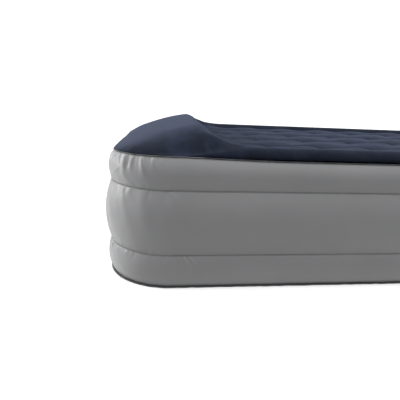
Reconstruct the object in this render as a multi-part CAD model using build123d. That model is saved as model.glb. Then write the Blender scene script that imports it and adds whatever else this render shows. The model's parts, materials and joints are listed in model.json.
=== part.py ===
"""Raised single air bed: welded sheet envelope, inner beams and sheets, and a built-in electric pump.

Frame: +Z up, origin on the floor under the middle of the bed. The head end, with the pillow and the
pump, is at -X and the foot end at +X. All sizes are in millimetres.
"""

from build123d import *
import math
import os

# ---- driving dimensions of the envelope -------------------------------------------------------
BED_LENGTH = 2030
BED_WIDTH = 1020
SHEET = 2.0  # wall of every sheet
CORNER_R = 200  # plan radius of the waist line
MIDDLE_BULGE = 20  # how far the middle band swells past the waist line
UPPER_BULGE = 12
LOWER_BULGE = 12
SEAM_OFFSET = -10  # top seam, measured outwards from the waist line
FOOT_OFFSET = -4  # bottom seam, measured outwards from the waist line
SEAM_Z = 400
LOWER_WAIST_Z = 106
UPPER_WAIST_Z = 307
FIELD_Z = 408  # level of the welds to the coil beams, between the swells
BORDER_Z = 435
BORDER_W = 76  # width of the raised border
BORDER_START_X = 330  # from the head end, where the border comes out of the pillow
PILLOW_Z = 493
PILLOW_CREST_X = 285  # from the head end
PILLOW_END_X = 425  # where the pillow meets the field, in the middle of the bed
PILLOW_ARM_X = 600  # where its arms end, beside the long seams
PILLOW_ARM_IN, PILLOW_ARM_OUT = 30, 130  # from the side seam, where an arm is whole and where it has gone
PILLOW_RISE_X, PILLOW_RISE_Y = 330, 280  # from the end and side seams to where the pillow stops rising
PILLOW_ROUND_X, PILLOW_ROUND_Y = 1.8, 4.2  # powers of the rises, higher is rounder
PILLOW_BROW, PILLOW_FOOT = 1.9, 2  # powers of the fall to the field, at its top and at its foot
PILLOW_STEPS = 30  # points each way that carry the pillow's surface
FLANGE_LIP = 5  # how far the welded lips stand out of the seams
FLANGE_T = 3

COIL_ROWS = 4
COIL_COLUMNS = 8
COIL_PITCH_Y = 185
COIL_PITCH_X = 194
COIL_FIRST_X = 503  # first column, from the head end
COIL_R = 48

AIR_SLOT = (160, 30)
AIR_SLOT_ROWS = ((-700, 90), (-125, 0), (375, 0), (850, 90))  # place along the bed, and turn
AIR_SLOT_Y = 390

WEB_FIRST_X = -500
WEB_PITCH = 250
WEB_COUNT = 6
WEB_WIDTH = 880
PILLOW_WEB_PITCH = 255
TAPE_X, TAPE_W = 500, 24
PILLOW_WEB_GAP = 25  # from the waist line at the head end to the webs

# ---- driving dimensions of the pump -----------------------------------------------------------
PUMP_FACE_X = -BED_LENGTH / 2 + 1  # plane of the pump's front, u = 0
PUMP_Z = (LOWER_WAIST_Z + UPPER_WAIST_Z) / 2
COLLAR_W, COLLAR_H, COLLAR_DEPTH, COLLAR_R = 196, 184, 20, 22
PLATE_W, PLATE_H = 171.4, 159.4
PLATE_FRONT, PLATE_BACK = 0.5, 4.0
CASE_W, CASE_H, CASE_WALL, CASE_BACK = 154, 142, 2.5, 134
SCREW_Y, SCREW_Z = 70, 64.5
BIN_Y, BIN_W, BIN_H, BIN_DEPTH, BIN_WALL = 45, 54, 115, 72, 2
GLAND_Z = -35
AXIS_Y, AXIS_Z = -33, 16  # shared axis of the dial and the fan
DISH_R, DISH_WALL, DISH_FLOOR = 38, 2, 16
SPINDLE_R = 5
SHAFT_R = 2.5
OUTLET_Z = -44
OUTLET_R = 10
HINGE_U, HINGE_Y = 2.2, 70.2
FLAP_HINGE_U, FLAP_HINGE_Z = 136.2, -28
PIN_R = 0.8
EASE = 0.15  # running clearance

half_x = BED_LENGTH / 2 - MIDDLE_BULGE
half_y = BED_WIDTH / 2 - MIDDLE_BULGE

# each side band: bottom, top, how far its bottom and top edges stand out, and its swell
BANDS = {
    "lower_side_band": (5, LOWER_WAIST_Z - 1, FOOT_OFFSET, 0, LOWER_BULGE),
    "middle_side_band": (LOWER_WAIST_Z + 1, UPPER_WAIST_Z - 1, 0, 0, MIDDLE_BULGE),
    "upper_side_band": (UPPER_WAIST_Z + 1, SEAM_Z - 1, 0, SEAM_OFFSET, UPPER_BULGE),
}


# ---- helpers ----------------------------------------------------------------------------------
def plan_slab(offset, z_low, z_high):
    """A slab with the bed's rounded plan, moved outwards from the waist line by offset."""
    plan = RectangleRounded(2 * (half_x + offset), 2 * (half_y + offset), CORNER_R + offset)
    return Pos(0, 0, z_low) * extrude(plan, z_high - z_low)


def plan_ring(section):
    """Carries a section round the bed. The section lies in XZ, with x counted from the corner's centre."""
    mid_x, mid_y = half_x - CORNER_R, half_y - CORNER_R
    corner = revolve(section, Axis.Z, 90)
    end_wall = Pos(0, -mid_y, 0) * extrude(section, 2 * mid_y, dir=(0, 1, 0))
    side_wall = Rot(0, 0, 90) * (Pos(0, -mid_x, 0) * extrude(section, 2 * mid_x, dir=(0, 1, 0)))
    pieces = []
    for turn, sx, sy in ((0, 1, 1), (90, -1, 1), (180, -1, -1), (270, 1, -1)):
        pieces.append(Pos(sx * mid_x, sy * mid_y, 0) * (Rot(0, 0, turn) * corner))
    for sign, turn in ((1, 0), (-1, 180)):
        pieces.append(Pos(sign * mid_x, 0, 0) * (Rot(0, 0, turn) * end_wall))
        pieces.append(Pos(0, sign * mid_y, 0) * (Rot(0, 0, turn) * side_wall))
    return pieces[0].fuse(*pieces[1:])


def xz_face(*edges):
    """A face in the XZ plane from edges drawn with (x, z) points."""
    return make_face([Plane.XZ * edge for edge in edges])


def band_section(z_low, z_high, offset_low, offset_high, bulge, inset=0.0, wall=SHEET):
    """Section of one swollen side band: two arcs, wall apart, inset inwards."""
    middle = (z_low + z_high) / 2
    out_low = CORNER_R + offset_low - inset
    out_high = CORNER_R + offset_high - inset
    out_mid = (out_low + out_high) / 2 + bulge
    outer = ThreePointArc((out_low, z_low), (out_mid, middle), (out_high, z_high))
    inner = ThreePointArc((out_high - wall, z_high), (out_mid - wall, middle), (out_low - wall, z_low))
    return xz_face(outer, Line((out_high, z_high), (out_high - wall, z_high)), inner,
                   Line((out_low - wall, z_low), (out_low, z_low)))


def flat_ring_section(offset_in, offset_out, z_low, z_high):
    corner = [(CORNER_R + offset_in, z_low), (CORNER_R + offset_out, z_low),
              (CORNER_R + offset_out, z_high), (CORNER_R + offset_in, z_high)]
    return xz_face(*[Line(a, b) for a, b in zip(corner, corner[1:] + corner[:1])])


def overlap(a, b):
    """The one solid that two shapes share."""
    return a.intersect(b).solids()[0]


def save(shape, name):
    solids = shape.solids()
    whole = solids[0] if len(solids) == 1 else Compound(children=list(solids))
    whole.label = name
    export_step(whole, f"parts/{name}.step")


# ---- envelope ---------------------------------------------------------------------------------
def share(value, low, high):
    """How far a value has gone from low to high, from 0 to 1."""
    return min(max((value - low) / (high - low), 0), 1)


def pillow_height(x, y):
    """Height of the pillow at a distance x from the head end and y from the middle line."""
    in_x = x - MIDDLE_BULGE + SEAM_OFFSET
    in_y = half_y + SEAM_OFFSET - abs(y)
    rise_x = 1 - (1 - share(in_x, 0, PILLOW_RISE_X)) ** PILLOW_ROUND_X
    rise_y = 1 - (1 - share(in_y, 0, PILLOW_RISE_Y)) ** PILLOW_ROUND_Y
    top = SEAM_Z + (PILLOW_Z - SEAM_Z) * rise_x * rise_y
    t = share(in_y, PILLOW_ARM_IN, PILLOW_ARM_OUT)
    end_x = PILLOW_ARM_X + (PILLOW_END_X - PILLOW_ARM_X) * t * t * (3 - 2 * t)
    low = SEAM_Z - FLANGE_T  # below the field, so that the surface cuts it cleanly
    kept = (1 - share(x, PILLOW_CREST_X, end_x) ** PILLOW_BROW) ** PILLOW_FOOT
    return low + (top - low) * kept


def pillow_mass(inset):
    """The space under the pillow's crowned surface, down to the seam."""
    steps = [i / PILLOW_STEPS for i in range(PILLOW_STEPS + 1)]
    points = []
    for across in steps:
        x, row = PILLOW_ARM_X * across, []
        for along in steps:
            y = BED_WIDTH * (along - 0.5)
            row.append(Vector(x - BED_LENGTH / 2, y, pillow_height(x, y) - inset))
        points.append(row)
    crown = Face.make_surface_from_array_of_points(points, tol=0.5)
    column = extrude(crown, PILLOW_Z, dir=(0, 0, -1))
    return overlap(column, plan_slab(SEAM_OFFSET - inset, SEAM_Z + FLANGE_T - 1, PILLOW_Z + 10))


def dome(inset):
    """The space under the top sheet: the pillow, the level field and the raised border round them."""
    base = SEAM_Z + FLANGE_T - 1
    reach = CORNER_R + SEAM_OFFSET - inset
    edge = xz_face(Line((0, base), (reach, base)), Line((reach, base), (reach - 8, FIELD_Z - inset)),
                   Line((reach - 8, FIELD_Z - inset), (0, FIELD_Z - inset)),
                   Line((0, FIELD_Z - inset), (0, base)))
    core = Pos(0, 0, base) * Box(2 * (half_x - CORNER_R), 2 * (half_y - CORNER_R), FIELD_Z - inset - base,
                                 align=(Align.CENTER, Align.CENTER, Align.MIN))
    field = plan_ring(edge).fuse(core)
    crest_x = CORNER_R + SEAM_OFFSET - BORDER_W / 2
    foot_low, foot_high = (crest_x - BORDER_W / 2 + inset, base), (crest_x + BORDER_W / 2 - inset, base)
    arch = ThreePointArc(foot_low, (crest_x, BORDER_Z - inset), foot_high)
    border = xz_face(arch, Line(foot_high, foot_low))
    border_box = Pos(-BED_LENGTH / 2 + BORDER_START_X + inset, 0, base) * Box(
        BED_LENGTH, BED_WIDTH, BORDER_Z, align=(Align.MIN, Align.CENTER, Align.MIN))
    return field.fuse(pillow_mass(inset), overlap(plan_ring(border), border_box))


def coil_beams():
    tube = Pos(0, 0, UPPER_WAIST_Z + 1) * extrude(
        Circle(COIL_R) - Circle(COIL_R - SHEET), FIELD_Z - SHEET - UPPER_WAIST_Z - 1)
    first_x = -BED_LENGTH / 2 + COIL_FIRST_X
    first_y = -COIL_PITCH_Y * (COIL_ROWS - 1) / 2
    return Compound(children=[
        Pos(first_x + column * COIL_PITCH_X, first_y + row * COIL_PITCH_Y, 0) * tube
        for column in range(COIL_COLUMNS) for row in range(COIL_ROWS)])


def cross_webs(z_low, z_high):
    """Upright strips across the bed, with a notch at each end that lets the air pass."""
    strip = Box(SHEET, WEB_WIDTH, z_high - z_low)
    return Compound(children=[Pos(WEB_FIRST_X + i * WEB_PITCH, 0, (z_low + z_high) / 2) * strip
                              for i in range(WEB_COUNT)])


def pillow_webs(inner_dome):
    low = UPPER_WAIST_Z + 1
    start, end = -half_x + PILLOW_WEB_GAP, -BED_LENGTH / 2 + PILLOW_END_X
    webs = []
    for i in (-1, 0, 1):
        slab = Pos(start, i * PILLOW_WEB_PITCH, low) * Box(
            end - start, SHEET, PILLOW_Z, align=(Align.MIN, Align.CENTER, Align.MIN))
        upper = overlap(slab, inner_dome)
        lower = Pos(start, i * PILLOW_WEB_PITCH, low) * Box(
            end - start, SHEET, SEAM_Z + 2 - low, align=(Align.MIN, Align.CENTER, Align.MIN))
        webs.append(lower.fuse(upper))
    return Compound(children=webs)


def tension_sheet(z):
    """A level sheet across the bed, held between two side bands, with slots that let the air pass."""
    sheet = plan_slab(1, z - 1, z + 1)
    slot = Pos(0, 0, z - 3) * extrude(SlotOverall(*AIR_SLOT), 6)
    for x, turn in AIR_SLOT_ROWS:
        for y in (-AIR_SLOT_Y, 0, AIR_SLOT_Y):
            sheet = sheet - Pos(x, y, 0) * (Rot(0, 0, turn) * slot)
    return sheet


def side_seam_tapes():
    """Tapes inside the wall at the far side, where the ends of the side bands are welded together."""
    tapes = []
    for low, high, a, b, bulge in BANDS.values():
        section = band_section(low, high, a, b, bulge, inset=SHEET, wall=1.0)
        tape = extrude(section, TAPE_W, dir=(0, 1, 0))
        tapes.append(Pos(TAPE_X, half_y - CORNER_R, 0) * (Rot(0, 0, 90) * tape))
    return Compound(children=tapes)


# ---- pump, drawn in its own frame: u inwards from the front, y across, z up ---------------------
def place(shape):
    return Pos(PUMP_FACE_X, 0, PUMP_Z) * shape


def plate(width, height, radius, u_low, u_high, y=0.0, z=0.0):
    """A rounded plate across the pump, from u_low to u_high."""
    outline = RectangleRounded(width, height, radius)
    return Pos(u_low, y, z) * (Plane.YZ * extrude(outline, u_high - u_low))


def rod(radius, u_low, u_high, y=0.0, z=0.0):
    """A round bar along u."""
    return Pos(u_low, y, z) * (Plane.YZ * extrude(Circle(radius), u_high - u_low))


def tube(outer, inner, u_low, u_high, y=0.0, z=0.0):
    return rod(outer, u_low, u_high, y, z) - rod(inner, u_low, u_high, y, z)


def block(u_low, u_high, y_low, y_high, z_low, z_high):
    return Pos(u_low, y_low, z_low) * Box(
        u_high - u_low, y_high - y_low, z_high - z_low, align=(Align.MIN, Align.MIN, Align.MIN))


def corners():
    return [(sy * SCREW_Y, sz * SCREW_Z) for sy in (-1, 1) for sz in (-1, 1)]


def pump_collar():
    frame = plate(COLLAR_W, COLLAR_H, COLLAR_R, 0, COLLAR_DEPTH)
    frame -= plate(172, 160, 14, 0, 5)
    return frame - plate(157, 145, 8, 5, COLLAR_DEPTH)


def pump_gasket():
    return plate(PLATE_W, PLATE_H, 13.7, PLATE_BACK, 5) - plate(159, 147, 9, PLATE_BACK, 5)


def faceplate():
    body = plate(PLATE_W, PLATE_H, 13.7, PLATE_FRONT, PLATE_BACK)
    body -= rod(DISH_R, PLATE_FRONT, PLATE_BACK, AXIS_Y, AXIS_Z)
    body += tube(DISH_R + DISH_WALL, DISH_R, PLATE_BACK, DISH_FLOOR, AXIS_Y, AXIS_Z)
    body += tube(DISH_R + DISH_WALL, SPINDLE_R + EASE, DISH_FLOOR, DISH_FLOOR + DISH_WALL, AXIS_Y, AXIS_Z)
    body -= plate(BIN_W, BIN_H, 1, PLATE_FRONT, PLATE_BACK, BIN_Y, 0)
    body -= rod(8, PLATE_FRONT, PLATE_BACK, BIN_Y - BIN_W / 2, -32)  # finger notch beside the door
    for i in range(5):
        body -= plate(62, 3.4, 1.6, PLATE_FRONT, PLATE_BACK, AXIS_Y + 2, -36 - 7 * i)
    for y, z in corners():
        body -= rod(3.2, PLATE_FRONT, 2.3, y, z)
        body -= rod(1.7, 2.3, PLATE_BACK, y, z)
    pin_hole = Pos(HINGE_U, HINGE_Y, 0) * Cylinder(PIN_R, 2 * 61)
    return body - pin_hole


def faceplate_screws():
    screws = []
    for y, z in corners():
        head = rod(3, PLATE_FRONT, 2.3, y, z) - block(0, 1.4, y - 0.4, y + 0.4, z - 2, z + 2)
        head -= block(0, 1.4, y - 2, y + 2, z - 0.4, z + 0.4)
        screws.append(head + rod(1.45, 2.3, 18, y, z))
    return Compound(children=screws)


def pump_case():
    case = plate(CASE_W, CASE_H, 8, PLATE_BACK, CASE_BACK)
    case -= plate(CASE_W - 2 * CASE_WALL, CASE_H - 2 * CASE_WALL, 5.5, PLATE_BACK, CASE_BACK - CASE_WALL)
    for y, z in corners():
        sy, sz = math.copysign(1, y), math.copysign(1, z)
        boss = Pos(13, sy * 70, sz * 64.4) * Box(18, 10, 8.8)
        case += boss
        case -= rod(1.5, PLATE_BACK, 20, y, z)
    for sy in (-1, 1):  # snap tabs behind the collar
        case += Pos(22, sy * 79, 0) * Box(4, 6, 24)
    return case - rod(OUTLET_R, CASE_BACK - CASE_WALL, CASE_BACK, AXIS_Y, OUTLET_Z)


def cord_bin():
    tray = plate(BIN_W + 2 * BIN_WALL, BIN_H + 2 * BIN_WALL, 3, PLATE_BACK, BIN_DEPTH + BIN_WALL, BIN_Y)
    tray -= plate(BIN_W, BIN_H, 1, PLATE_BACK, BIN_DEPTH, BIN_Y)
    return tray - rod(5.5, BIN_DEPTH, BIN_DEPTH + BIN_WALL, BIN_Y, GLAND_Z)


def cord_gland():
    gland = rod(8, BIN_DEPTH - 2, BIN_DEPTH, BIN_Y, GLAND_Z)
    gland += rod(5.45, BIN_DEPTH, BIN_DEPTH + 2, BIN_Y, GLAND_Z)
    gland += rod(7, BIN_DEPTH + 2, BIN_DEPTH + 4, BIN_Y, GLAND_Z)
    gland += rod(5, BIN_DEPTH + 4, BIN_DEPTH + 10, BIN_Y, GLAND_Z)
    return gland - rod(3.5, BIN_DEPTH - 2, BIN_DEPTH + 10, BIN_Y, GLAND_Z)  # the cord's hole


def cord_door():
    free_edge = BIN_Y - BIN_W / 2 + 0.4
    half_h = BIN_H / 2 - 0.4
    panel = block(PLATE_FRONT, 3.3, free_edge, HINGE_Y - 2.6, -half_h, half_h)
    panel += block(PLATE_FRONT + 0.5, 3.3, HINGE_Y - 2.7, HINGE_Y, -half_h, half_h)
    panel += Pos(HINGE_U, HINGE_Y, 0) * Cylinder(1.7, 2 * half_h)
    panel += block(3.3, 7, free_edge, free_edge + 1.6, -8, 8)
    for z in range(-40, 41, 10):
        panel -= block(PLATE_FRONT, PLATE_FRONT + 0.6, free_edge + 9, HINGE_Y - 9, z - 1, z + 1)
    return panel - Pos(HINGE_U, HINGE_Y, 0) * Cylinder(PIN_R + EASE, BIN_H)


def door_hinge_pin():
    return Pos(HINGE_U, HINGE_Y, 0) * Cylinder(PIN_R - 0.02, 2 * 60.5)


def selector_dial():
    dial = rod(36, 9.5, 15.5, AXIS_Y, AXIS_Z)
    dial += plate(62, 13, 6, 1.5, 9.5, AXIS_Y, AXIS_Z)
    return dial - plate(1.6, 5, 0.7, 1.5, 2.5, AXIS_Y - 26, AXIS_Z)


def dial_spindle():
    return rod(SPINDLE_R, 15.5, 54, AXIS_Y, AXIS_Z)


def on_axis(shape, radius, degrees):
    """Moves a shape drawn on the fan's axis out to a radius, at an angle round the axis."""
    a = math.radians(degrees)
    return Pos(0, radius * math.cos(a), radius * math.sin(a)) * shape


def selector_plate():
    disc = tube(36, SPINDLE_R, 44, 47, AXIS_Y, AXIS_Z)
    for degrees in (0, 180):
        disc -= on_axis(rod(9, 44, 47, AXIS_Y, AXIS_Z), 22, degrees)
    return disc


def port_plate():
    disc = tube(40, SPINDLE_R + EASE, 48, 51, AXIS_Y, AXIS_Z)
    for degrees in (90, 270):
        disc -= on_axis(rod(9, 48, 51, AXIS_Y, AXIS_Z), 22, degrees)
    return disc


def rotary_switch():
    return plate(36, 36, 4, 18, 28, AXIS_Y, AXIS_Z) - rod(SPINDLE_R + EASE, 18, 28, AXIS_Y, AXIS_Z)


def intake_filter():
    return block(PLATE_BACK, 10, -64, 4, -67, -33)


def fan_housing():
    cup = tube(40, 38, 51, 82, AXIS_Y, AXIS_Z) + tube(40, 6, 82, 84, AXIS_Y, AXIS_Z)
    neck = block(58, 78, AXIS_Y - 14, AXIS_Y + 14, -30, -20)
    cup += neck - rod(39, 50, 84, AXIS_Y, AXIS_Z)
    cup -= block(60, 76, AXIS_Y - 12, AXIS_Y + 12, -31, -15)
    for degrees in (90, 210, 330):
        cup -= on_axis(rod(1.5, 82, 84, AXIS_Y, AXIS_Z), 18, degrees)
    return cup


def fan_bracket():
    return block(64, 68, -(CASE_W / 2 - CASE_WALL), 15.5, -14, 60) - rod(40, 64, 68, AXIS_Y, AXIS_Z)


def outlet_duct():
    end = CASE_BACK - CASE_WALL
    duct = block(58, end, AXIS_Y - 14, AXIS_Y + 14, -58, -30)
    duct -= block(60, end, AXIS_Y - 12, AXIS_Y + 12, -56, -32)
    return duct - block(60, 76, AXIS_Y - 12, AXIS_Y + 12, -33, -30)


def impeller():
    wheel = tube(6, SHAFT_R, 58, 72, AXIS_Y, AXIS_Z) + tube(34, SHAFT_R, 72, 74, AXIS_Y, AXIS_Z)
    blade = Pos(65, 20, 4) * (Rot(-24, 0, 0) * Box(14, 28, 1.6))
    for i in range(8):
        turned = Rot(45 * i, 0, 0) * blade
        wheel += Pos(0, AXIS_Y, AXIS_Z) * turned
    return wheel


def motor_shaft():
    return rod(SHAFT_R, 56, 128, AXIS_Y, AXIS_Z)


def rotor_core():
    core = tube(14, SHAFT_R, 95, 117, AXIS_Y, AXIS_Z)
    for i in range(12):
        core -= on_axis(rod(1.2, 95, 117, AXIS_Y, AXIS_Z), 12.2, 30 * i)
    return core


def motor_can():
    can = tube(25, 23.5, 88, 124, AXIS_Y, AXIS_Z)
    can += tube(23.6, 4, 88, 90, AXIS_Y, AXIS_Z) + tube(23.6, 4, 122, 124, AXIS_Y, AXIS_Z)
    for degrees in (90, 210, 330):
        can -= on_axis(rod(1.5, 88, 90, AXIS_Y, AXIS_Z), 18, degrees)
    return can


def motor_bushes():
    return Compound(children=[tube(3.98, SHAFT_R + 0.05, u, u + 4, AXIS_Y, AXIS_Z) for u in (87, 121)])


def motor_stator():
    return tube(23.45, 14.5, 96, 116, AXIS_Y, AXIS_Z)


def motor_mount():
    ring = tube(28, 10, 84, 88, AXIS_Y, AXIS_Z)
    for degrees in (90, 210, 330):
        ring -= on_axis(rod(1.5, 84, 88, AXIS_Y, AXIS_Z), 18, degrees)
    return ring


def motor_screws():
    screw = rod(3, 80.2, 82, AXIS_Y, AXIS_Z) + rod(1.45, 82, 91, AXIS_Y, AXIS_Z)
    return Compound(children=[on_axis(screw, 18, degrees) for degrees in (90, 210, 330)])


def outlet_flap():
    flap = rod(13, 134.3, 136.3, AXIS_Y, OUTLET_Z)
    flap += block(134.6, 136.3, AXIS_Y - 6, AXIS_Y + 6, OUTLET_Z + 8, FLAP_HINGE_Z)
    barrel = Pos(FLAP_HINGE_U, AXIS_Y, FLAP_HINGE_Z) * (Rot(90, 0, 0) * Cylinder(1.6, 16))
    bore = Pos(FLAP_HINGE_U, AXIS_Y, FLAP_HINGE_Z) * (Rot(90, 0, 0) * Cylinder(PIN_R + EASE, 16))
    return flap + barrel - bore


def flap_bracket():
    ears = []
    for y in (AXIS_Y - 10.5, AXIS_Y + 10.5):
        ear = block(CASE_BACK, 138.5, y - 1.5, y + 1.5, FLAP_HINGE_Z - 3, FLAP_HINGE_Z + 3)
        bore = Pos(FLAP_HINGE_U, y, FLAP_HINGE_Z) * (Rot(90, 0, 0) * Cylinder(PIN_R, 4))
        ears.append(ear - bore)
    return Compound(children=ears)


def flap_pin():
    return Pos(FLAP_HINGE_U, AXIS_Y, FLAP_HINGE_Z) * (Rot(90, 0, 0) * Cylinder(PIN_R - 0.02, 24))


PUMP_PARTS = (
    pump_collar, pump_gasket, faceplate, faceplate_screws, pump_case, cord_bin, cord_gland, cord_door,
    door_hinge_pin, selector_dial, dial_spindle, selector_plate, port_plate, rotary_switch,
    intake_filter, fan_housing, fan_bracket, outlet_duct, impeller, motor_shaft, rotor_core, motor_can,
    motor_bushes, motor_stator, motor_mount, motor_screws, outlet_flap, flap_bracket, flap_pin,
)


# ---- build ------------------------------------------------------------------------------------
os.makedirs("parts", exist_ok=True)

inner_dome = dome(SHEET)
save(dome(0) - inner_dome, "top_sheet")
save(pillow_webs(inner_dome), "pillow_webs")
for name, (low, high, a, b, bulge) in BANDS.items():
    band = plan_ring(band_section(low, high, a, b, bulge))
    if name == "middle_side_band":
        band = band - place(plate(COLLAR_W, COLLAR_H, COLLAR_R, -5, 30))
    save(band, name)
save(plan_slab(FOOT_OFFSET, 0, 2), "bottom_sheet")
save(plan_ring(flat_ring_section(SEAM_OFFSET - 4, SEAM_OFFSET + FLANGE_LIP, SEAM_Z - 1, SEAM_Z + 2)),
     "top_seam_flange")
save(plan_ring(flat_ring_section(FOOT_OFFSET - 6, FOOT_OFFSET + FLANGE_LIP, 2, 2 + FLANGE_T)),
     "bottom_seam_flange")
save(tension_sheet(UPPER_WAIST_Z), "upper_tension_sheet")
save(tension_sheet(LOWER_WAIST_Z), "lower_tension_sheet")
save(coil_beams(), "coil_beams")
save(cross_webs(LOWER_WAIST_Z + 1, UPPER_WAIST_Z - 1), "middle_webs")
save(cross_webs(2, LOWER_WAIST_Z - 1), "lower_webs")
save(side_seam_tapes(), "side_seam_tapes")
for make in PUMP_PARTS:
    save(place(make()), make.__name__)
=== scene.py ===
"""Looks of a raised single air bed: a flocked top with a pillow, banded PVC walls and the pump's materials.

Everything is in metres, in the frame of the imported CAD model: +Z up, the head end at -X.
"""

import json
import math

import bmesh
import bpy
import numpy as np
from mathutils import Matrix, Vector


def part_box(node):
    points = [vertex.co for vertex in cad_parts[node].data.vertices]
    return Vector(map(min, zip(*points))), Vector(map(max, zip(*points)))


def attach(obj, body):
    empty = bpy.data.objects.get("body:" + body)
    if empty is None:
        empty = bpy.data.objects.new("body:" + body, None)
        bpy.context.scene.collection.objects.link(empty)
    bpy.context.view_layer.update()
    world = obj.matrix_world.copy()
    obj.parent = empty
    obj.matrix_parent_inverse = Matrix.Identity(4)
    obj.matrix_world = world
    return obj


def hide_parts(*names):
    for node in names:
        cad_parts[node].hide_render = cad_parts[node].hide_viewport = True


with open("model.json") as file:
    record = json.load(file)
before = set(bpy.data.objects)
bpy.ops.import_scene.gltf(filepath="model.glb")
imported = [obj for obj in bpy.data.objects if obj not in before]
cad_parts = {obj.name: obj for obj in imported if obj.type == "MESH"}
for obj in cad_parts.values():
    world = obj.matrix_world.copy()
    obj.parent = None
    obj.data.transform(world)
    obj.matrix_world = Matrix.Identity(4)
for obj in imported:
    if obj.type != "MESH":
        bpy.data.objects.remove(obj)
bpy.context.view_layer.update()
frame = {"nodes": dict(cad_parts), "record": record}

NODES = frame["nodes"]

# ---- the envelope's sizes, read from the frame --------------------------------------------------
HALF_X, HALF_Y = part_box("middle_side_band")[1].xy
WAIST_X, WAIST_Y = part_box("upper_tension_sheet")[1].xy - Vector((0.001, 0.001))
CORNER_R = 0.2
SEAM_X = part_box("top_sheet")[1].x
SEAM_OFFSET = SEAM_X - WAIST_X
SEAM_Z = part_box("top_seam_flange")[1].z
FOOT_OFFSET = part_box("bottom_sheet")[1].x - WAIST_X
FOOT_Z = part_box("lower_side_band")[0].z
LOWER_WEBS = 6
LOWER_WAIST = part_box("lower_tension_sheet")
UPPER_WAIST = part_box("upper_tension_sheet")
COLLAR_LOW, COLLAR_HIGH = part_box("pump_collar")
COLLAR_CORNER = 0.022
FACEPLATE_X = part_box("faceplate")[0].x
MARK_R = 0.0425  # from the dial's axis to the middle of each mark
MIDDLE_BULGE = HALF_X - WAIST_X
UPPER_BULGE = LOWER_BULGE = 0.012

# ---- the top's shape ----------------------------------------------------------------------------
BORDER_S = 0.038  # from the seam to the border's crest
BORDER_H = 0.035
TROUGH_S = 0.088  # from the seam to the trough inside the border
TROUGH_Z = 0.411
FIELD_LOW = 0.4105
FIELD_RISE = 0.02
PITCH_X, PITCH_Y = 0.194, 0.185
RIDGE_X = -HALF_X + 0.6  # one of the columns where the ridges stand highest
COIL_R = 0.048
PILLOW_CREST = 0.285  # from the head end
PILLOW_END, PILLOW_ARM = 0.42, 0.60  # where it ends, in the middle and beside the long seams
ARM_IN, ARM_OUT = 0.03, 0.13  # from the side seam, where an arm is whole and where it has gone
PILLOW_RISE_X, PILLOW_RISE_Y = 0.33, 0.28  # from the seam to where the pillow stops rising
PILLOW_ROUND_X, PILLOW_ROUND_Y = 1.8, 4.2  # powers of the rises, higher is rounder
PILLOW_BROW, PILLOW_FOOT = 1.9, 2  # powers of the fall to the field, at its top and at its foot
PILLOW_CROWN = 0.496
BORDER_START, BORDER_FULL = 0.20, 0.43  # from the head end, where the border grows out of the pillow


# ---- mesh helpers -------------------------------------------------------------------------------
def smooth_step(x, low, high):
    t = np.clip((x - low) / (high - low), 0, 1)
    return t * t * (3 - 2 * t)


FLAT_X, FLAT_Y = 2 * (WAIST_X - CORNER_R), 2 * (WAIST_Y - CORNER_R)
ARC = CORNER_R * math.pi / 2
AROUND = 2 * (FLAT_X + FLAT_Y) + 4 * ARC
CORNER_STARTS = [0, ARC + FLAT_X, 2 * ARC + FLAT_X + FLAT_Y, 3 * ARC + 2 * FLAT_X + FLAT_Y]


def outline(offset, place):
    """Points and outward normals at places round the bed's plan, offset outwards from the waist line."""
    points, normals = np.zeros((len(place), 2)), np.zeros((len(place), 2))
    for k, (sx, sy) in enumerate(((1, 1), (-1, 1), (-1, -1), (1, -1))):
        start, first = CORNER_STARTS[k], k * math.pi / 2
        centre = np.array([sx * (WAIST_X - CORNER_R), sy * (WAIST_Y - CORNER_R)])
        here = (place >= start) & (place < start + ARC)
        turn = first + (place[here] - start) / CORNER_R
        normals[here] = np.stack([np.cos(turn), np.sin(turn)], 1)
        points[here] = centre + (CORNER_R + offset) * normals[here]
        start += ARC
        here = (place >= start) & (place < start + (FLAT_X if k % 2 == 0 else FLAT_Y))
        out = np.array([math.cos(first + math.pi / 2), math.sin(first + math.pi / 2)])
        along = np.array([-out[1], out[0]])
        normals[here] = out
        points[here] = centre + (CORNER_R + offset) * out + along * (place[here] - start)[:, None]
    return points, normals


def columns(fine, coarse):
    """Places round the plan, a fine step apart near the corners and a coarse step apart elsewhere."""
    beside = 0.08
    density = np.linspace(0, AROUND, 20000, endpoint=False)
    crowded = np.zeros(len(density), bool)
    for start in CORNER_STARTS:
        crowded |= (density - start + beside) % AROUND < ARC + 2 * beside
    total = np.cumsum(np.where(crowded, 1 / fine, 1 / coarse)) * AROUND / len(density)
    return np.interp(np.arange(int(total[-1])), total, density)


def sheet_mesh(name, points, wrap=False, keep=None):
    """A smooth mesh from a grid of points, rows by columns by 3, closed along its rows if wrap is set."""
    index = np.arange(points.shape[0] * points.shape[1]).reshape(points.shape[:2])
    right = np.roll(index, -1, axis=1) if wrap else index[:, 1:]
    left = index if wrap else index[:, :-1]
    faces = np.stack([left[:-1], right[:-1], right[1:], left[1:]], -1).reshape(-1, 4)
    if keep is not None:
        faces = faces[keep[faces].all(axis=1)]
        used = np.unique(faces)
        renumber = np.zeros(index.size, int)
        renumber[used] = np.arange(len(used))
        vertices, faces = points.reshape(-1, 3)[used], renumber[faces]
    else:
        vertices = points.reshape(-1, 3)
    mesh = bpy.data.meshes.new(name)
    mesh.from_pydata(vertices.tolist(), [], faces.tolist())
    mesh.polygons.foreach_set("use_smooth", np.ones(len(faces), bool))
    mesh.update()
    piece = bpy.data.objects.new(name, mesh)
    bpy.context.scene.collection.objects.link(piece)
    return piece


def thicken(piece, thickness):
    """Gives a sheet its thickness, inwards from its outer face."""
    solid = piece.modifiers.new("thickness", "SOLIDIFY")
    solid.thickness = thickness
    solid.offset = -1


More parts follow.
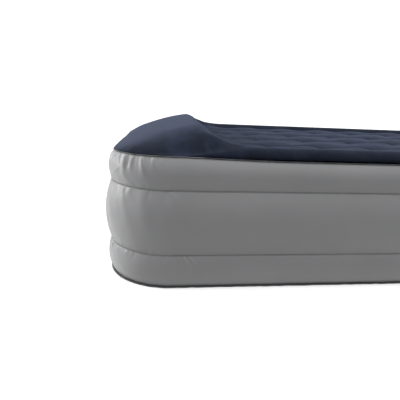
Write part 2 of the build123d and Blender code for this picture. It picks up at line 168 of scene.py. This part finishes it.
def dress(piece, slot_name, material, *nodes):
    """Sets a piece's material, puts it on the bed's body and lets it stand for CAD nodes."""
    piece.data.materials.append(material)
    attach(piece, "bed")
    if nodes:
        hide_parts(*nodes)
    return piece


# ---- folds --------------------------------------------------------------------------------------
PUCKERS = (  # (share of the corner's arc, width, length, height, lean)
    (0.15, 0.0100, 0.044, 0.0066, 0.10),
    (0.27, 0.0060, 0.030, 0.0040, -0.10),
    (0.38, 0.0055, 0.026, 0.0036, 0.00),
    (0.48, 0.0085, 0.050, 0.0075, 0.12),
    (0.58, 0.0060, 0.036, 0.0052, -0.05),
    (0.68, 0.0070, 0.042, 0.0060, 0.30),
    (0.80, 0.0055, 0.026, 0.0032, 0.20),
)
CREASES = (  # long, shallow ones down the middle band beside each corner, in the same order
    (0.22, 0.016, 0.130, 0.0022, 0.30),
    (0.45, 0.012, 0.110, 0.0018, 0.42),
    (0.70, 0.018, 0.150, 0.0016, 0.22),
    (1.05, 0.020, 0.120, 0.0012, -0.35),
)
GROOVE_PUCKERS = (  # small ones under the lower groove
    (0.12, 0.0080, 0.016, 0.0034, 0.20),
    (0.24, 0.0060, 0.018, 0.0040, -0.15),
    (0.36, 0.0055, 0.014, 0.0030, 0.10),
    (0.52, 0.0060, 0.012, 0.0018, 0.00),
    (1.10, 0.0050, 0.034, 0.0020, 0.60),
    (1.16, 0.0045, 0.030, 0.0015, 0.75),
)
SLANTED = (  # creases that run up and across the upper band from the upper groove
    (0.16, 0.0080, 0.050, 0.0012, 1.60),
    (0.62, 0.0070, 0.040, 0.0007, -1.20),
)
LAP_X, LAP_HALF, LAP_HEIGHT = 0.5, 0.012, 0.0008  # where the bands' ends overlap, on the far side


def seam_folds(seed, at_corner, on_side, height, length, width=(0.003, 0.007)):
    """Short folds along a seam: (place, width, length, height, lean), crowded at the corners."""
    draw = np.random.default_rng(seed)
    folds = []
    for start in CORNER_STARTS:
        share = (np.arange(at_corner) + draw.uniform(0, 1, at_corner)) / at_corner
        places = start - 0.05 + (ARC + 0.1) * share
        for place in places:
            folds.append((place, draw.uniform(*width), draw.uniform(0.5, 1) * length,
                          draw.uniform(0.35, 1) * height * draw.choice([1, -1]), draw.uniform(-0.5, 0.5)))
    places = AROUND * (np.arange(on_side) + draw.uniform(0, 1, on_side)) / on_side
    for place in places:
        folds.append((place, draw.uniform(*width) * 1.4, draw.uniform(0.5, 1) * length,
                      draw.uniform(0.1, 0.42) * height * draw.choice([1, -1]), draw.uniform(-0.9, 0.9)))
    return folds


def at_corners(shapes):
    """The same folds at each corner, measured from the end wall on round to the side wall."""
    folds = []
    for k, start in enumerate(CORNER_STARTS):
        for share, width, length, height, lean in shapes:
            if k % 2:
                share, lean = 1 - share, -lean
            folds.append((start + share * ARC, width, length, height, lean))
    return folds


def fold_height(place, away, folds):
    """Height of the folds at a place along the wall and a distance away from their seam."""
    total = np.zeros(np.broadcast(place, away).shape)
    for at, width, length, height, lean in folds:
        across = place - at - lean * away
        across = (across + AROUND / 2) % AROUND - AROUND / 2
        near = np.exp(-((away / length) ** 2)) * (1 - np.exp(-away / 0.003))
        ratio = (across / (width * (1 + away / length))) ** 2
        total += height * near * (1 - ratio) * np.exp(-ratio)
    return total


def unevenness(place, z, seed, size):
    """Slow, smooth swelling of a wall."""
    draw = np.random.default_rng(seed)
    total = np.zeros(np.broadcast(place, z).shape)
    for k in range(2, 15):
        phase, tilt = draw.uniform(0, 2 * math.pi), draw.uniform(-12, 12)
        total += np.sin(2 * math.pi * k * place / AROUND + phase + tilt * z) / k ** 0.5
    return size * total / 3


# ---- the walls ----------------------------------------------------------------------------------
def seam_lift(x, y):
    """The top seam rides a little higher beside the pillow and sags a little along the head end."""
    beside_pillow = 0.008 * np.exp(-(((x + HALF_X - 0.2) / 0.22) ** 2))
    along_end = 0.009 * np.exp(-(((x + HALF_X) / 0.12) ** 2) - ((y - 0.22) / 0.26) ** 2)
    return beside_pillow - along_end - 0.0015


def wall(low, high, low_offset, high_offset, bulge, rows, upper_folds, lower_folds, seed):
    """One swollen band, as an arc carried round the plan, with folds running from both its seams."""
    place = columns(0.0016, 0.0042)
    count = len(place)
    base, normals = outline(0, place)
    share = (1 - np.cos(np.linspace(0, math.pi, rows))) / 2 * 0.5 + np.linspace(0, 1, rows) * 0.5
    arch = share[:, None]
    top = high + (seam_lift(base[:, 0], base[:, 1]) if high > SEAM_Z - 0.01 else 0)
    z = low + (top - low) * arch
    chord = high - low
    radius = (chord / 2) ** 2 / (2 * bulge) + bulge / 2
    from_middle = (arch - 0.5) * chord
    swell = np.sqrt(radius ** 2 - from_middle ** 2) - (radius - bulge)
    out = low_offset + (high_offset - low_offset) * arch + swell
    ends = np.clip(4 * arch * (1 - arch), 0, 1) ** 0.7
    out = out + ends * unevenness(place, z, seed, 0.0012)
    out = out + fold_height(place, (1 - arch) * chord, upper_folds)
    out = out + fold_height(place, arch * chord, lower_folds)
    from_lap = np.where(base[:, 1] > WAIST_Y - 0.001, np.abs(base[:, 0] - LAP_X), 1)
    out = out + LAP_HEIGHT * (1 - smooth_step(from_lap, LAP_HALF, LAP_HALF + 0.002))
    points = np.zeros((rows, count, 3))
    points[..., :2] = base + normals * out[..., None]
    points[..., 2] = z
    return points


def sink_round_collar(points):
    """Draws the head wall in to the pump's collar, and returns which points lie clear of the pump."""
    centre = (COLLAR_LOW + COLLAR_HIGH) / 2
    half = (COLLAR_HIGH - COLLAR_LOW) / 2
    across = np.abs(points[..., 1] - centre.y) - (half.y - COLLAR_CORNER)
    up = np.abs(points[..., 2] - centre.z) - (half.z - COLLAR_CORNER)
    past_corner = np.hypot(np.maximum(across, 0), np.maximum(up, 0))
    outside = past_corner + np.minimum(np.maximum(across, up), 0) - COLLAR_CORNER
    head = points[..., 0] < -WAIST_X + 0.03
    pull = np.where(head, 1 - smooth_step(outside, 0.0, 0.035), 0)
    turn = np.arctan2(points[..., 2] - centre.z, points[..., 1] - centre.y)
    crinkle = 0.0009 * np.sin(31 * turn + 2 * np.sin(3 * turn)) * np.exp(-((outside / 0.02) ** 2)) * head
    edge_x = COLLAR_LOW.x + 0.006
    points[..., 0] += pull * np.maximum(edge_x - points[..., 0], 0) + crinkle
    return ~(head & (outside < -0.009)).reshape(-1)


def build_walls(material):
    upper = wall(UPPER_WAIST[1].z, SEAM_Z - 0.003, 0, SEAM_OFFSET, UPPER_BULGE, 34,
                 at_corners(PUCKERS) + seam_folds(3, 9, 60, 0.0016, 0.02),
                 at_corners(SLANTED) + seam_folds(4, 6, 40, 0.0012, 0.03, (0.005, 0.012)), 5)
    middle = wall(LOWER_WAIST[1].z, UPPER_WAIST[0].z, 0, 0, MIDDLE_BULGE, 60,
                  at_corners(CREASES) + seam_folds(6, 7, 44, 0.0018, 0.05, (0.005, 0.011)),
                  seam_folds(7, 7, 44, 0.0014, 0.03, (0.005, 0.011)), 8)
    lower = wall(FOOT_Z, LOWER_WAIST[0].z, FOOT_OFFSET, 0, LOWER_BULGE, 34,
                 at_corners(GROOVE_PUCKERS) + seam_folds(9, 8, 50, 0.0018, 0.022),
                 seam_folds(10, 7, 50, 0.0012, 0.018), 12)
    clear = sink_round_collar(middle)
    for name, points, node, keep in (("wall_upper", upper, "upper_side_band", None),
                                     ("wall_middle", middle, "middle_side_band", clear),
                                     ("wall_lower", lower, "lower_side_band", None)):
        piece = sheet_mesh(name, points, wrap=True, keep=keep)
        thicken(piece, 0.0008)
        dress(piece, "pvc_grey", material, node)


# ---- the top ------------------------------------------------------------------------------------
def pillow_surface(x, y, s):
    """The pillow: a crown that rises from the seams and falls along the bed to the field."""
    in_x = WAIST_X + SEAM_OFFSET - np.abs(x)
    in_y = WAIST_Y + SEAM_OFFSET - np.abs(y)
    from_end = 1 - (1 - np.clip(in_x / PILLOW_RISE_X, 0, 1)) ** PILLOW_ROUND_X
    from_side = 1 - (1 - np.clip(in_y / PILLOW_RISE_Y, 0, 1)) ** PILLOW_ROUND_Y
    end = PILLOW_ARM + (PILLOW_END - PILLOW_ARM) * smooth_step(in_y, ARM_IN, ARM_OUT)
    fall = np.clip((x + HALF_X - PILLOW_CREST) / (end - PILLOW_CREST), 0, 1.3)
    kept = (1 - np.clip(fall, 0, 1) ** PILLOW_BROW) ** PILLOW_FOOT
    kept = np.where(fall < 1, kept, (1 - fall) * 0.5)
    top = SEAM_Z + (PILLOW_CROWN - SEAM_Z) * from_end * from_side * (1 - np.exp(-s / 0.01))
    low = FIELD_LOW - 0.004
    return low + (top - low) * kept


def field_surface(x, y):
    """Rows of swells between the welds to the coil beams."""
    along = np.cos(math.pi * (x - RIDGE_X) / PITCH_X) ** 2
    across = np.abs(np.cos(math.pi * y / PITCH_Y))
    across = (across ** 2 + 0.02) ** 0.4 - 0.02 ** 0.4
    height = FIELD_LOW + FIELD_RISE * across * (0.68 + 0.32 * along) + 0.004 * along * (1 - across)
    to_x = np.abs((x - RIDGE_X) / PITCH_X - 0.5) % 1
    to_x = np.minimum(to_x, 1 - to_x) * PITCH_X
    to_y = np.abs(y / PITCH_Y - 0.5) % 1
    to_y = np.minimum(to_y, 1 - to_y) * PITCH_Y
    from_coil = np.hypot(to_x, to_y)
    height -= 0.0025 * np.exp(-(((from_coil - COIL_R) / 0.007) ** 2))
    height += 0.003 * np.exp(-((from_coil / 0.03) ** 2))
    return height


def top_height(x, y, s):
    """Height of the top sheet. s is the distance in from its seam."""
    rise = np.sqrt(np.clip(1 - (1 - np.clip(s / BORDER_S, 0, 1)) ** 2, 0, 1))
    grown = smooth_step(x + HALF_X, BORDER_START, BORDER_FULL)
    border = SEAM_Z + (0.004 + (BORDER_H - 0.004) * grown) * rise
    drop = smooth_step(s, BORDER_S, TROUGH_S)
    border = border - (border - TROUGH_Z) * drop * grown
    field = field_surface(x, y)
    flat = border + (field - border) * smooth_step(s, TROUGH_S - 0.03, TROUGH_S + 0.03)
    pillow = pillow_surface(x, y, s)
    soft = (0.030 - 0.018 * smooth_step(x + HALF_X, 0.4, 0.6)) * np.clip(s / 0.05, 0.02, 1)
    gap = np.clip(0.5 + 0.5 * (pillow - flat) / soft, 0, 1)
    height = flat + (pillow - flat) * gap + soft * gap * (1 - gap)
    return height + seam_lift(x, y) * np.exp(-s / 0.03)


def spaced(half, fine, coarse, edge):
    """Places from -half to half, close together near the ends."""
    rim = np.arange(0, edge, fine)
    inner = np.linspace(edge, 2 * half - edge, int((2 * half - 2 * edge) / coarse) + 1)
    return np.concatenate([rim, inner, 2 * half - rim[::-1]]) - half


def into_corner(x, y, half_x, half_y, radius):
    """Maps a rectangle onto the same rectangle with rounded corners."""
    a = np.maximum(np.abs(x) - (half_x - radius), 0)
    b = np.maximum(np.abs(y) - (half_y - radius), 0)
    length = np.hypot(a, b)
    scale = np.where((a > 0) & (b > 0), np.maximum(a, b) / np.maximum(length, 1e-9), 1)
    new_x = np.where(a > 0, (half_x - radius + a * scale) * np.sign(x), x)
    new_y = np.where(b > 0, (half_y - radius + b * scale) * np.sign(y), y)
    return new_x, new_y


def build_top(material):
    half_x, half_y = WAIST_X + SEAM_OFFSET, WAIST_Y + SEAM_OFFSET
    flat_x = spaced(half_x, 0.0032, 0.0065, 0.1)
    flat_y = spaced(half_y, 0.0032, 0.0065, 0.1)
    grid_x, grid_y = np.meshgrid(flat_x, flat_y)
    s = np.minimum(half_x - np.abs(grid_x), half_y - np.abs(grid_y))
    x, y = into_corner(grid_x, grid_y, half_x, half_y, CORNER_R + SEAM_OFFSET)
    z = top_height(x, y, s)
    # folds at the seam, found by the nearest place along it
    place = columns(0.002, 0.004)
    rim = outline(SEAM_OFFSET, place)[0]
    near = s < 0.05
    points = np.stack([x[near], y[near]], 1)
    nearest = np.array([place[np.argmin(((rim - p) ** 2).sum(1))] for p in points])
    lump = fold_height(nearest, s[near], seam_folds(14, 10, 50, 0.0016, 0.018, (0.004, 0.008)))
    z[near] += lump
    piece = sheet_mesh("top_cover", np.stack([x, y, z], -1))
    thicken(piece, 0.0012)
    dress(piece, "flock_navy", material, "top_sheet")


# ---- seams and underside ------------------------------------------------------------------------
def lip(name, offset, reach, z, thickness, wave, droop, follow, seed):
    """A welded lip that stands out of a seam all the way round, slightly wavy."""
    place = columns(0.003, 0.004)
    count = len(place)
    base, normals = outline(0, place)
    draw = np.random.default_rng(seed)
    ripple = np.zeros(count)
    for k in range(30, 160, 9):
        ripple += np.sin(2 * math.pi * k * place / AROUND + draw.uniform(0, 6.28)) * draw.uniform(0.2, 1)
    ripple *= wave / 3
    lift = seam_lift(base[:, 0], base[:, 1]) if follow else 0
    section = [(-0.004, 0), (0, 0), (0.5, -0.35), (0.85, -0.8), (1, -1)]
    points = np.zeros((2 * len(section), count, 3))
    for side, up in ((0, 0.5), (1, -0.5)):
        for k, (out, down) in enumerate(section):
            row = k if side == 0 else 2 * len(section) - 1 - k
            length = out * reach if k else out
            thin = 1 - 0.35 * max(out, 0)
            points[row, :, :2] = base + normals * (offset + length + ripple * 0.3 * max(out, 0))[:, None]
            points[row, :, 2] = z + lift + up * thickness * thin + droop * down + ripple * max(out, 0)
    return sheet_mesh(name, points, wrap=True)


def build_underside(material):
    half_x, half_y = WAIST_X + FOOT_OFFSET, WAIST_Y + FOOT_OFFSET
    grid_x, grid_y = np.meshgrid(spaced(half_x, 0.006, 0.009, 0.05), spaced(half_y, 0.006, 0.011, 0.05))
    s = np.minimum(half_x - np.abs(grid_x), half_y - np.abs(grid_y))
    x, y = into_corner(grid_x, grid_y, half_x, half_y, CORNER_R + FOOT_OFFSET)
    web_low, web_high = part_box("lower_webs")
    web_x = np.linspace(web_low.x, web_high.x, LOWER_WEBS)
    z = np.full(x.shape, 0.0003)
    end = web_high.y - 0.015
    for at in web_x:
        inside = 1 - smooth_step(np.abs(y), end - 0.03, end + 0.03)
        z += 0.0045 * np.exp(-(((x - at) / 0.012) ** 2)) * inside
    z += 0.002 * (1 - smooth_step(s, 0, 0.02))
    piece = sheet_mesh("underside", np.stack([x, y, z], -1)[::-1])
    thicken(piece, 0.0008)
    dress(piece, "pvc_dark", material, "bottom_sheet")


def build_dial_marks(material):
    """Three short raised marks round the dial, for deflate, off and inflate."""
    low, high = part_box("selector_dial")
    centre_y, centre_z = (low.y + high.y) / 2, (low.z + high.z) / 2
    form = bmesh.new()
    for turn in (-90, 0, 90):
        angle = math.radians(90 + turn)
        bar = bmesh.ops.create_cube(form, size=1)["verts"]
        bmesh.ops.scale(form, vec=(0.0006, 0.0022, 0.006), verts=bar)
        bmesh.ops.rotate(form, matrix=Matrix.Rotation(angle - math.pi / 2, 3, "X"), verts=bar)
        out = Vector((0, math.cos(angle), math.sin(angle))) * MARK_R
        bmesh.ops.translate(form, vec=Vector((FACEPLATE_X, centre_y, centre_z)) + out, verts=bar)
    mesh = bpy.data.meshes.new("dial_marks")
    form.to_mesh(mesh)
    marks = bpy.data.objects.new("dial_marks", mesh)
    bpy.context.scene.collection.objects.link(marks)
    bevel = marks.modifiers.new("soft_edges", "BEVEL")
    bevel.width = 0.0002
    bevel.segments = 2
    dress(marks, "dial_plastic", material)


# ---- materials ----------------------------------------------------------------------------------
class Paint:
    """A principled material with short calls for the nodes that drive it."""

    def __init__(self, name, color, roughness, **sockets):
        self.material = bpy.data.materials.new(name)
        self.material.use_nodes = True
        self.nodes = self.material.node_tree.nodes
        self.links = self.material.node_tree.links
        self.shader = self.nodes["Principled BSDF"]
        self.shader.inputs["Base Color"].default_value = (*color, 1)
        self.shader.inputs["Roughness"].default_value = roughness
        for key, value in sockets.items():
            self.shader.inputs[key.replace("_", " ")].default_value = value
        self.place = self.nodes.new("ShaderNodeTexCoord").outputs["Object"]
        self.last_normal = None

    def noise(self, scale, detail=4.0, rough=0.5, stretch=(1, 1, 1), distortion=0.0):
        mapping = self.nodes.new("ShaderNodeMapping")
        mapping.inputs["Scale"].default_value = stretch
        self.links.new(self.place, mapping.inputs["Vector"])
        texture = self.nodes.new("ShaderNodeTexNoise")
        texture.inputs["Scale"].default_value = scale
        texture.inputs["Detail"].default_value = detail
        texture.inputs["Roughness"].default_value = rough
        texture.inputs["Distortion"].default_value = distortion
        self.links.new(mapping.outputs["Vector"], texture.inputs["Vector"])
        return texture.outputs["Fac"]

    def cells(self, scale):
        texture = self.nodes.new("ShaderNodeTexVoronoi")
        texture.inputs["Scale"].default_value = scale
        self.links.new(self.place, texture.inputs["Vector"])
        return texture.outputs["Distance"]

    def ramp(self, value, stops):
        node = self.nodes.new("ShaderNodeValToRGB")
        band = node.color_ramp
        while len(band.elements) < len(stops):
            band.elements.new(0.5)
        for element, (at, color) in zip(band.elements, stops):
            element.position = at
            element.color = (*color, 1)
        self.links.new(value, node.inputs["Fac"])
        return node.outputs["Color"]

    def span(self, value, low, high, source_low=0.3, source_high=0.7):
        node = self.nodes.new("ShaderNodeMapRange")
        node.inputs["From Min"].default_value = source_low
        node.inputs["From Max"].default_value = source_high
        node.inputs["To Min"].default_value = low
        node.inputs["To Max"].default_value = high
        self.links.new(value, node.inputs["Value"])
        return node.outputs["Result"]

    def color(self, value):
        self.links.new(value, self.shader.inputs["Base Color"])

    def roughness(self, value):
        self.links.new(value, self.shader.inputs["Roughness"])

    def bump(self, value, strength, distance):
        node = self.nodes.new("ShaderNodeBump")
        node.inputs["Strength"].default_value = strength
        node.inputs["Distance"].default_value = distance
        self.links.new(value, node.inputs["Height"])
        if self.last_normal is not None:
            self.links.new(self.last_normal, node.inputs["Normal"])
        self.last_normal = node.outputs["Normal"]
        self.links.new(self.last_normal, self.shader.inputs["Normal"])


def tint(color, share):
    return tuple(min(c * share, 1) for c in color)


def flock():
    navy = (0.0078, 0.0108, 0.0205)
    paint = Paint("flock_navy", navy, 0.92, Sheen_Weight=0.24, Sheen_Roughness=0.36,
                  Sheen_Tint=(0.50, 0.60, 0.92, 1), Specular_IOR_Level=0.12)
    brushed = paint.noise(11, 6, 0.65, (1, 1.4, 1), 0.8)
    paint.color(paint.ramp(brushed, [(0.3, tint(navy, 0.7)), (0.5, navy), (0.7, tint(navy, 1.7))]))
    paint.roughness(paint.span(paint.noise(30, 3), 0.84, 0.98))
    paint.bump(paint.noise(26, 4, 0.55), 0.25, 0.002)
    paint.bump(paint.noise(900, 3, 0.8), 0.5, 0.0006)
    return paint.material


def pvc(name, color, roughness, coat=0.0):
    paint = Paint(name, color, roughness, Coat_Weight=coat, Coat_Roughness=0.35, Specular_IOR_Level=0.5)
    cloud = paint.noise(5, 4, 0.55)
    paint.color(paint.ramp(cloud, [(0.3, tint(color, 0.95)), (0.7, tint(color, 1.05))]))
    paint.roughness(paint.span(paint.noise(40, 4), roughness - 0.05, roughness + 0.07))
    paint.bump(paint.noise(14, 4, 0.5), 0.18, 0.003)
    paint.bump(paint.cells(750), 0.12, 0.0003)
    return paint.material


def moulded(name, color, roughness, grain=900.0):
    paint = Paint(name, color, roughness, Specular_IOR_Level=0.5)
    paint.color(paint.ramp(paint.noise(60, 4), [(0.3, tint(color, 0.88)), (0.7, tint(color, 1.12))]))
    paint.roughness(paint.span(paint.noise(220, 4), roughness - 0.07, roughness + 0.08))
    paint.bump(paint.cells(grain), 0.25, 0.0002)
    paint.bump(paint.noise(1600, 2), 0.15, 0.0002)
    return paint.material


def metal(name, color, roughness, stretch):
    paint = Paint(name, color, roughness, Metallic=1.0)
    lines = paint.noise(700, 3, 0.6, stretch)
    paint.color(paint.ramp(lines, [(0.3, tint(color, 0.85)), (0.7, tint(color, 1.1))]))
    paint.roughness(paint.span(lines, roughness - 0.08, roughness + 0.1))
    paint.bump(lines, 0.15, 0.0001)
    return paint.material


def foam():
    paint = Paint("filter_foam", (0.03, 0.03, 0.032), 0.95, Specular_IOR_Level=0.2)
    holes = paint.cells(420)
    # painted shade: the colour darkens towards the middle of each pit the bump sinks, as if shade fell deep
    # in the pores
    paint.color(paint.ramp(holes, [(0.1, (0.006, 0.006, 0.006)), (0.6, (0.05, 0.05, 0.053))]))
    paint.bump(holes, 0.9, 0.001)
    return paint.material


def paint_carried_nodes(materials):
    """Every CAD node that is still shown takes the material of its slot."""
    for entry in frame["record"]["subparts"]:
        node = NODES[entry["node"]]
        if node.hide_render:
            continue
        node.data.materials.clear()
        node.data.materials.append(materials[entry["material_slot"]])


# ---- light, floor and camera --------------------------------------------------------------------
CAMERA_YAW, CAMERA_PITCH, CAMERA_ROLL = 0.1373, 0.2169, 0.047
CAMERA_PLACE = Vector((-HALF_X + 0.1914, -HALF_Y - 1.073, 0.587))
CAMERA_LENS = 34.8
CAMERA_SHIFT = (-0.04, -0.051)
FLOOR_GLOW = 0.25
WORLD_BASE = 0.07
WORLD_LIGHT = (  # (towards, where it starts, where it is full, strength)
    ((0.1, -0.1, 1), 0.15, 0.95, 1.35),
    ((0, 0, -1), 0.0, 0.7, 0.72),
    ((-1, 0.35, 0.2), 0.35, 0.95, 1.5),
    ((1, -0.5, 0.1), 0.4, 1.0, 0.3),
)


def area_light(name, place, target, size, power):
    data = bpy.data.lights.new(name, "AREA")
    data.shape = "RECTANGLE"
    data.size, data.size_y = size
    data.energy = power
    light = bpy.data.objects.new(name, data)
    light.location = place
    light.rotation_mode = "QUATERNION"
    light.rotation_quaternion = (Vector(target) - Vector(place)).to_track_quat("-Z", "Y")
    bpy.context.scene.collection.objects.link(light)


def camera_only(piece):
    """Keeps a stage piece out of every ray but the camera's own, so that it gives the bed no light."""
    piece.visible_diffuse = False
    piece.visible_glossy = False
    piece.visible_transmission = False
    piece.visible_shadow = False


def build_floor():
    reach = 30
    mesh = bpy.data.meshes.new("floor")
    mesh.from_pydata([(-reach, -reach, 0), (reach, -reach, 0), (reach, reach, 0), (-reach, reach, 0)], [],
                     [(0, 1, 2, 3)])
    floor = bpy.data.objects.new("floor", mesh)
    floor.location.z = -0.0005
    bpy.context.scene.collection.objects.link(floor)
    paint = Paint("floor_pale", (0.9, 0.9, 0.9), 0.9, Specular_IOR_Level=0.1, Emission_Strength=FLOOR_GLOW,
                  Emission_Color=(1, 1, 1, 1))
    mesh.materials.append(paint.material)
    camera_only(floor)


def build_backdrop():
    """A wide white drum round the scene, seen only by the camera."""
    reach, height, count = 28, 14, 64
    turn = np.linspace(0, 2 * math.pi, count, endpoint=False)
    rows = [(reach, -1), (reach, height * 0.6), (reach * 0.75, height), (0.01, height * 1.15)]
    points = np.array([[(r * math.cos(a), r * math.sin(a), z) for a in turn] for r, z in rows])
    drum = sheet_mesh("backdrop", points, wrap=True)
    paint = Paint("backdrop_white", (1, 1, 1), 1.0, Emission_Strength=1.0, Emission_Color=(1, 1, 1, 1))
    drum.data.materials.append(paint.material)
    camera_only(drum)


def build_world():
    """Soft light that comes mostly from above and from the head end, with little from the front."""
    world = bpy.data.worlds.new("studio")
    bpy.context.scene.world = world
    world.use_nodes = True
    nodes, links = world.node_tree.nodes, world.node_tree.links
    background = nodes["Background"]
    background.inputs["Color"].default_value = (1, 1, 1, 1)
    direction = nodes.new("ShaderNodeTexCoord").outputs["Generated"]
    total = None
    for axis, low, high, amount in WORLD_LIGHT:
        dot = nodes.new("ShaderNodeVectorMath")
        dot.operation = "DOT_PRODUCT"
        dot.inputs[1].default_value = Vector(axis).normalized()
        links.new(direction, dot.inputs[0])
        share = nodes.new("ShaderNodeMapRange")
        share.interpolation_type = "SMOOTHSTEP"
        share.inputs["From Min"].default_value = low
        share.inputs["From Max"].default_value = high
        share.inputs["To Max"].default_value = amount
        links.new(dot.outputs["Value"], share.inputs["Value"])
        if total is None:
            total = share.outputs["Result"]
        else:
            add = nodes.new("ShaderNodeMath")
            links.new(total, add.inputs[0])
            links.new(share.outputs["Result"], add.inputs[1])
            total = add.outputs["Value"]
    base = nodes.new("ShaderNodeMath")
    base.inputs[1].default_value = WORLD_BASE
    links.new(total, base.inputs[0])
    links.new(base.outputs["Value"], background.inputs["Strength"])


def build_camera():
    """A camera near the bed's head corner, a little above the sleeping surface."""
    yaw, pitch, roll = CAMERA_YAW, CAMERA_PITCH, CAMERA_ROLL
    ahead = Vector((math.sin(yaw) * math.cos(pitch), math.cos(yaw) * math.cos(pitch), -math.sin(pitch)))
    right = Vector((math.cos(yaw), -math.sin(yaw), 0))
    up = right.cross(ahead)
    rolled_right = right * math.cos(roll) + up * math.sin(roll)
    rolled_up = up * math.cos(roll) - right * math.sin(roll)
    data = bpy.data.cameras.new("camera")
    data.lens = CAMERA_LENS
    data.sensor_width = 36
    data.shift_x, data.shift_y = CAMERA_SHIFT
    camera = bpy.data.objects.new("camera", data)
    turn = Matrix((rolled_right, rolled_up, -ahead)).transposed().to_4x4()
    camera.matrix_world = Matrix.Translation(CAMERA_PLACE) @ turn
    bpy.context.scene.collection.objects.link(camera)
    bpy.context.scene.camera = camera


# ---- build --------------------------------------------------------------------------------------
MATERIALS = {
    "flock_navy": flock(),
    "pvc_grey": pvc("pvc_grey", (0.215, 0.216, 0.221), 0.36, 0.15),
    "pvc_seam": pvc("pvc_seam", (0.035, 0.038, 0.046), 0.45),
    "pvc_dark": pvc("pvc_dark", (0.045, 0.047, 0.052), 0.42),
    "pvc_inner": pvc("pvc_inner", (0.20, 0.202, 0.206), 0.45),
    "pump_plastic": moulded("pump_plastic", (0.022, 0.023, 0.026), 0.45),
    "case_plastic": moulded("case_plastic", (0.035, 0.035, 0.038), 0.5),
    "dial_plastic": moulded("dial_plastic", (0.24, 0.25, 0.27), 0.32, 1400),
    "seal_rubber": moulded("seal_rubber", (0.015, 0.015, 0.016), 0.75, 1200),
    "steel": metal("steel", (0.52, 0.52, 0.53), 0.3, (1, 1, 0.05)),
    "winding": metal("winding", (0.60, 0.27, 0.11), 0.35, (0.05, 1, 1)),
    "bush_brass": metal("bush_brass", (0.66, 0.46, 0.18), 0.35, (1, 1, 0.1)),
    "filter_foam": foam(),
}

build_camera()
build_world()
build_floor()
build_backdrop()
area_light("left_softbox", (-3.2, 0.3, 1.1), (-0.9, -0.2, 0.3), (0.7, 1.6), 24)
area_light("top_softbox", (-0.5, -0.3, 2.6), (-0.4, -0.3, 0.4), (2.4, 1.2), 20)

build_top(MATERIALS["flock_navy"])
build_walls(MATERIALS["pvc_grey"])
top_lip = lip("top_seam_lip", SEAM_OFFSET, reach=0.0035, z=SEAM_Z - 0.001, thickness=0.0014,
              wave=0.0008, droop=0.001, follow=True, seed=21)
dress(top_lip, "pvc_seam", MATERIALS["pvc_seam"], "top_seam_flange")
bottom_lip = lip("bottom_seam_lip", FOOT_OFFSET, reach=0.006, z=FOOT_Z - 0.001, thickness=0.0016,
                 wave=0.0008, droop=0.002, follow=False, seed=22)
dress(bottom_lip, "pvc_dark", MATERIALS["pvc_dark"], "bottom_seam_flange")
build_underside(MATERIALS["pvc_dark"])
build_dial_marks(MATERIALS["dial_plastic"])
paint_carried_nodes(MATERIALS)

view = bpy.context.scene.view_settings
view.view_transform = "Standard"
view.look = "None"
